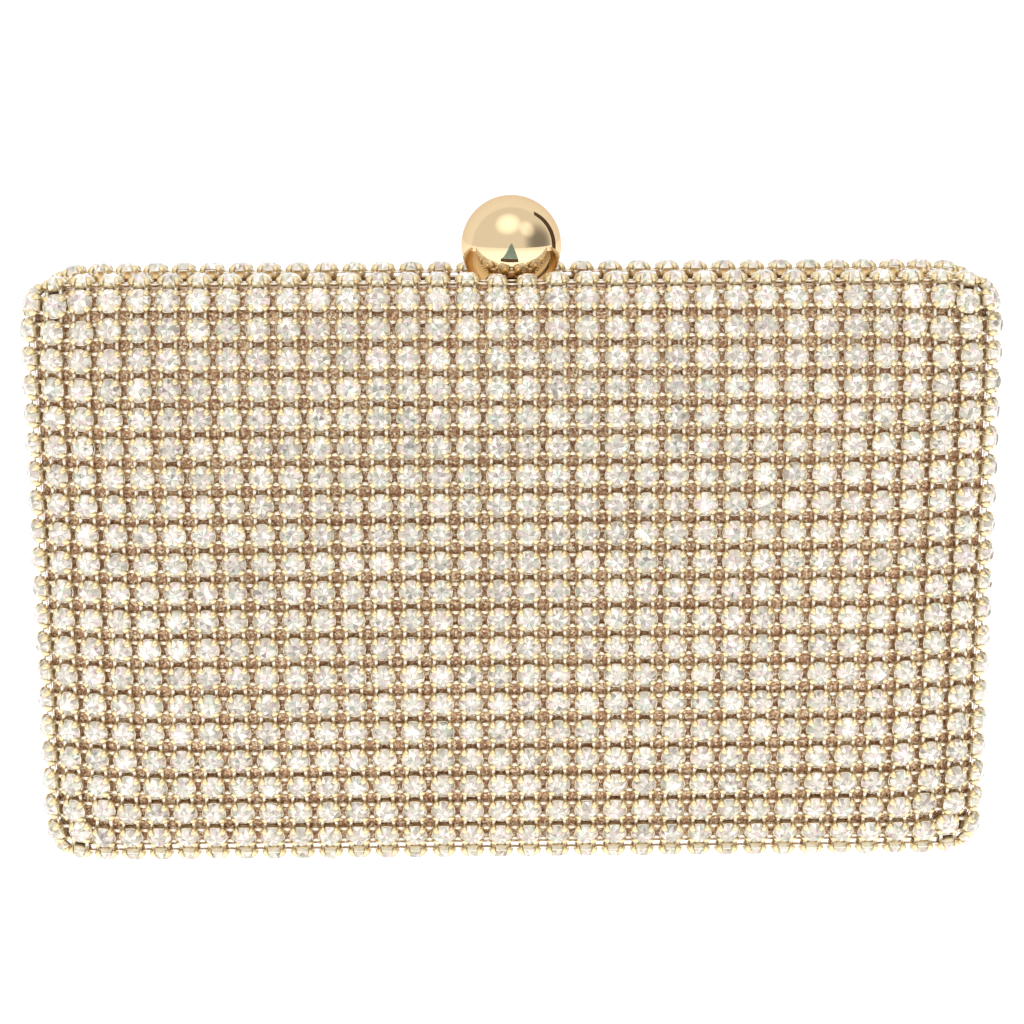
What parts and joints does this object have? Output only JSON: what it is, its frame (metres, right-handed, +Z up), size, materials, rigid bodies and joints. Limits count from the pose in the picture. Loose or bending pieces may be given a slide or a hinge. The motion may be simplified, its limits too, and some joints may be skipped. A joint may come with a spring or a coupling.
{
  "type": "evening bag",
  "caption": "Hard box clutch of two domed halves covered in a net of round crystals, hinged along the bottom, with a sprung gold ball clasp on top.",
  "frame": {"origin": "centre of the bag's footprint, on the surface it stands on", "axes": "+X along the bag's width, -Y the front face, +Y the back face, +Z up towards the ball clasp"},
  "size_m": [0.1614, 0.0328, 0.1126],
  "materials": {
    "crystal": "faceted clear stones in gold-toned cups",
    "glitter_cloth": "bronze glitter cloth",
    "shell_board": "moulded case",
    "satin": "champagne satin over card",
    "gold_frame": "polished light gold plate",
    "gold_ball": "mirror-polished gold plate",
    "gold_fittings": "gold plate",
    "latch_metal": "satin plated",
    "steel": "bright steel"
  },
  "bodies": {
    "rear_half": {"rear_frame": "gold_frame", "rear_shell": "shell_board", "rear_cover": "glitter_cloth", "rear_crystal_mesh": "crystal", "rear_lining": "satin", "stem_bush": "gold_fittings", "latch_housing": "latch_metal", "latch_rivets": "gold_fittings", "clasp_spring": "steel", "hinge_leaf_rear_left": "gold_fittings", "hinge_leaf_rear_right": "gold_fittings", "hinge_rivets_rear": "gold_fittings", "hinge_pin_left": "steel", "hinge_pin_right": "steel"},
    "front_half": {"front_frame": "gold_frame", "front_shell": "shell_board", "front_cover": "glitter_cloth", "front_crystal_mesh": "crystal", "front_lining": "satin", "keeper": "latch_metal", "keeper_rivets": "gold_fittings", "hinge_leaf_front_left": "gold_fittings", "hinge_leaf_front_right": "gold_fittings", "hinge_rivets_front": "gold_fittings"},
    "clasp": {"clasp_ball": "gold_ball", "clasp_stem": "steel", "latch_hook": "latch_metal", "retaining_clip": "steel"}
  },
  "joints": [
    {"name": "opening_hinge", "type": "hinge", "parent": "rear_half", "child": "front_half", "pos_m": [0, 0, 0.0049], "axis": [1, 0, 0], "range_deg": [0, 95]},
    {"name": "clasp_press", "type": "slide", "parent": "rear_half", "child": "clasp", "axis": [0, 0, -1], "range_m": [0, 0.0014], "stiffness_N_per_m": 1500, "springref_m": -0.001, "deforming": ["clasp_spring"]}
  ]
}
